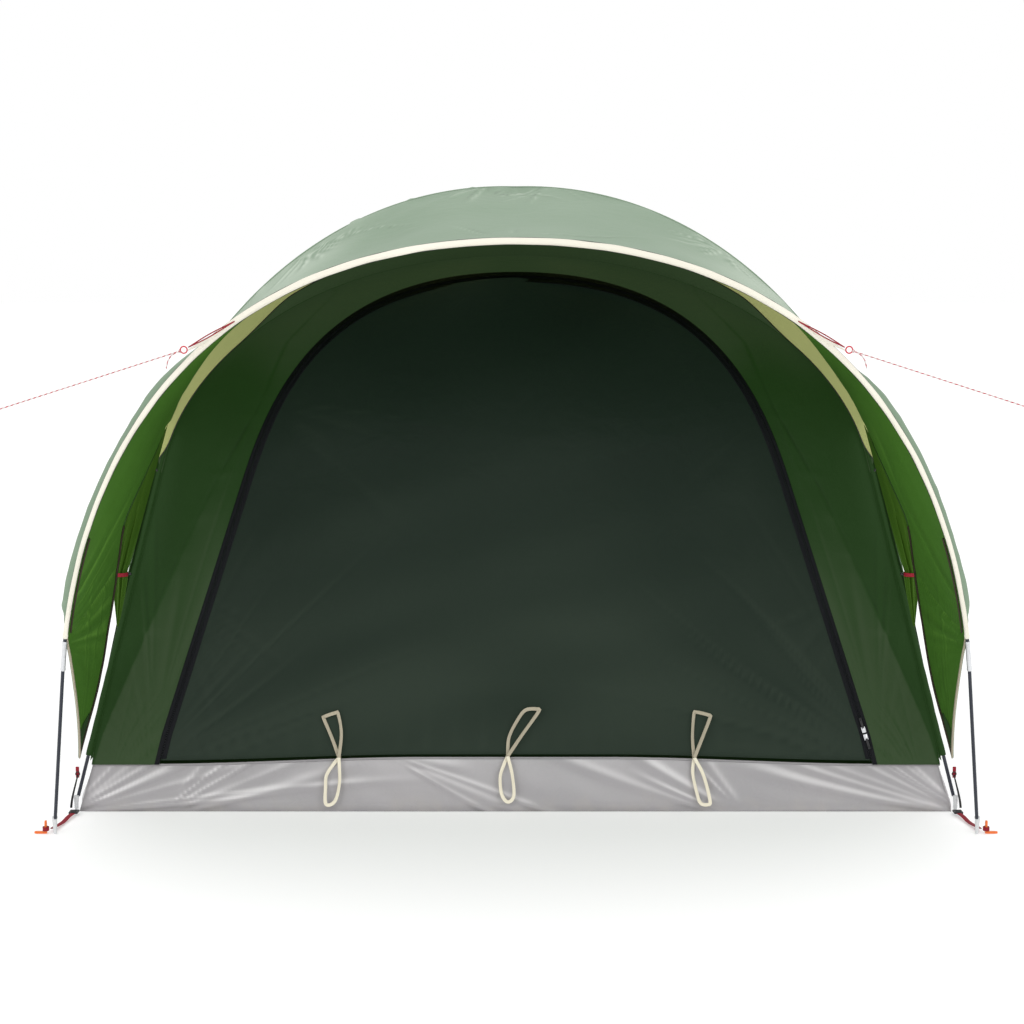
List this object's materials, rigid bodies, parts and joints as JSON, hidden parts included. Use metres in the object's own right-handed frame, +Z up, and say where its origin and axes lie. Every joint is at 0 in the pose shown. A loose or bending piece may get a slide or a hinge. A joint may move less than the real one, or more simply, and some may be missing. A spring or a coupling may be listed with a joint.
{
  "type": "dome tent",
  "caption": "Free-standing dome tent on crossing poles, with a forward brow pole and porch, zipped inner door, tub floor, side door flaps rolled back, guylines and pegs.",
  "frame": {"origin": "middle of the underside of the tub floor, on the ground", "axes": "+X to the tent's right seen from the front, +Y from the porch to the rear, +Z up"},
  "size_m": [2.516, 2.6967, 1.7019],
  "materials": {
    "fly_cloth": "coated polyester taffeta, mid green, slightly see-through",
    "inner_cloth": "breathable nylon, dark green",
    "tub_cloth": "coated groundsheet cloth, pale lilac grey",
    "cream_cloth": "cream pole sleeve webbing",
    "dark_pole": "glass-fibre rod, navy black, smooth",
    "silver_metal": "bright steel ferrule and zip slider",
    "grey_plastic": "light grey moulded foot cap",
    "black_plastic": "black moulded plastic",
    "zip_tape": "black coil zip and tape",
    "red_webbing": "crimson woven webbing",
    "ribbon": "beige grosgrain ribbon",
    "orange_plastic": "orange moulded peg",
    "guy_cord": "braided cord, red with white flecks"
  },
  "bodies": {
    "root": {"brow_ferrule_left": "silver_metal", "brow_ferrule_right": "silver_metal", "brow_foot_left": "grey_plastic", "brow_foot_right": "grey_plastic", "brow_pole_arch": "dark_pole", "brow_pole_leg_left": "dark_pole", "brow_pole_leg_right": "dark_pole", "brow_sleeve": "cream_cloth", "corner_buckle_left": "black_plastic", "corner_buckle_right": "black_plastic", "corner_strap_front_left": "red_webbing", "corner_strap_front_right": "red_webbing", "corner_strap_rear_left": "red_webbing", "corner_strap_rear_right": "red_webbing", "door_tie_centre": "ribbon", "door_tie_left": "ribbon", "door_tie_right": "ribbon", "door_zip_wall_half": "zip_tape", "fly_porch_roof": "fly_cloth", "fly_rear_panel": "fly_cloth", "fly_side_left": "fly_cloth", "fly_side_right": "fly_cloth", "fly_wing_left": "fly_cloth", "fly_wing_right": "fly_cloth", "groundsheet_tub": "tub_cloth", "guyline_end_left": "guy_cord", "guyline_end_right": "guy_cord", "guyline_left": "guy_cord", "guyline_loop_left": "red_webbing", "guyline_loop_right": "red_webbing", "guyline_right": "guy_cord", "guyline_ring_left": "red_webbing", "guyline_ring_right": "red_webbing", "inner_front_wall": "inner_cloth", "inner_left_wall": "inner_cloth", "inner_rear_wall": "inner_cloth", "inner_right_wall": "inner_cloth", "main_pole_lower": "dark_pole", "main_pole_upper": "dark_pole", "pole_tip_front_left": "grey_plastic", "pole_tip_front_right": "grey_plastic", "pole_tip_rear_left": "grey_plastic", "pole_tip_rear_right": "grey_plastic", "side_door_roll_left": "fly_cloth", "side_door_roll_right": "fly_cloth", "side_door_strap_left": "red_webbing", "side_door_strap_right": "red_webbing", "wing_hook_left": "black_plastic", "wing_hook_right": "black_plastic"},
    "door": {"inner_door": "inner_cloth", "door_zip_door_half": "zip_tape"},
    "slider_upper": {"door_zip_slider_upper": "silver_metal"},
    "slider_lower": {"door_zip_slider_lower": "silver_metal"},
    "toggle_left": {"side_door_toggle_left": "black_plastic"},
    "toggle_right": {"side_door_toggle_right": "black_plastic"},
    "peg_front_left": {"peg_front_left": "orange_plastic"},
    "peg_front_right": {"peg_front_right": "orange_plastic"},
    "peg_rear_left": {"peg_rear_left": "orange_plastic"},
    "peg_rear_right": {"peg_rear_right": "orange_plastic"}
  },
  "joints": [
    {"name": "door_roll_down", "type": "hinge", "parent": "root", "child": "door", "pos_m": [0, -1.00393, 0.146], "axis": [1, 0, 0], "range_deg": [0, 105], "deforming": ["door_tie_left", "door_tie_centre", "door_tie_right"]},
    {"name": "zip_upper_slide", "type": "slide", "parent": "door", "child": "slider_upper", "axis": [-0.2917, 0.1945, 0.9365], "range_m": [0, 0.66]},
    {"name": "zip_lower_slide", "type": "slide", "parent": "door", "child": "slider_lower", "axis": [-0.2917, 0.1945, 0.9365], "range_m": [-0.025, 0]},
    {"name": "toggle_left_twist", "type": "hinge", "parent": "root", "child": "toggle_left", "pos_m": [-1.04425, -0.98607, 0.642], "axis": [0, 1, 0], "range_deg": [-80, 80]},
    {"name": "toggle_right_twist", "type": "hinge", "parent": "root", "child": "toggle_right", "pos_m": [1.04425, -0.98607, 0.642], "axis": [0, 1, 0], "range_deg": [-80, 80]},
    {"name": "peg_front_left_swivel", "type": "hinge", "parent": "root", "child": "peg_front_left", "pos_m": [-1.2215, -1.232, 0.017], "axis": [0, 0, 1], "range_deg": [-25, 25]},
    {"name": "peg_front_right_swivel", "type": "hinge", "parent": "root", "child": "peg_front_right", "pos_m": [1.2215, -1.232, 0.017], "axis": [0, 0, 1], "range_deg": [-25, 25]},
    {"name": "peg_rear_left_swivel", "type": "hinge", "parent": "root", "child": "peg_rear_left", "pos_m": [-1.22204, 1.10335, 0.017], "axis": [0, 0, 1], "range_deg": [-25, 25]},
    {"name": "peg_rear_right_swivel", "type": "hinge", "parent": "root", "child": "peg_rear_right", "pos_m": [1.22204, 1.10335, 0.017], "axis": [0, 0, 1], "range_deg": [-25, 25]}
  ]
}
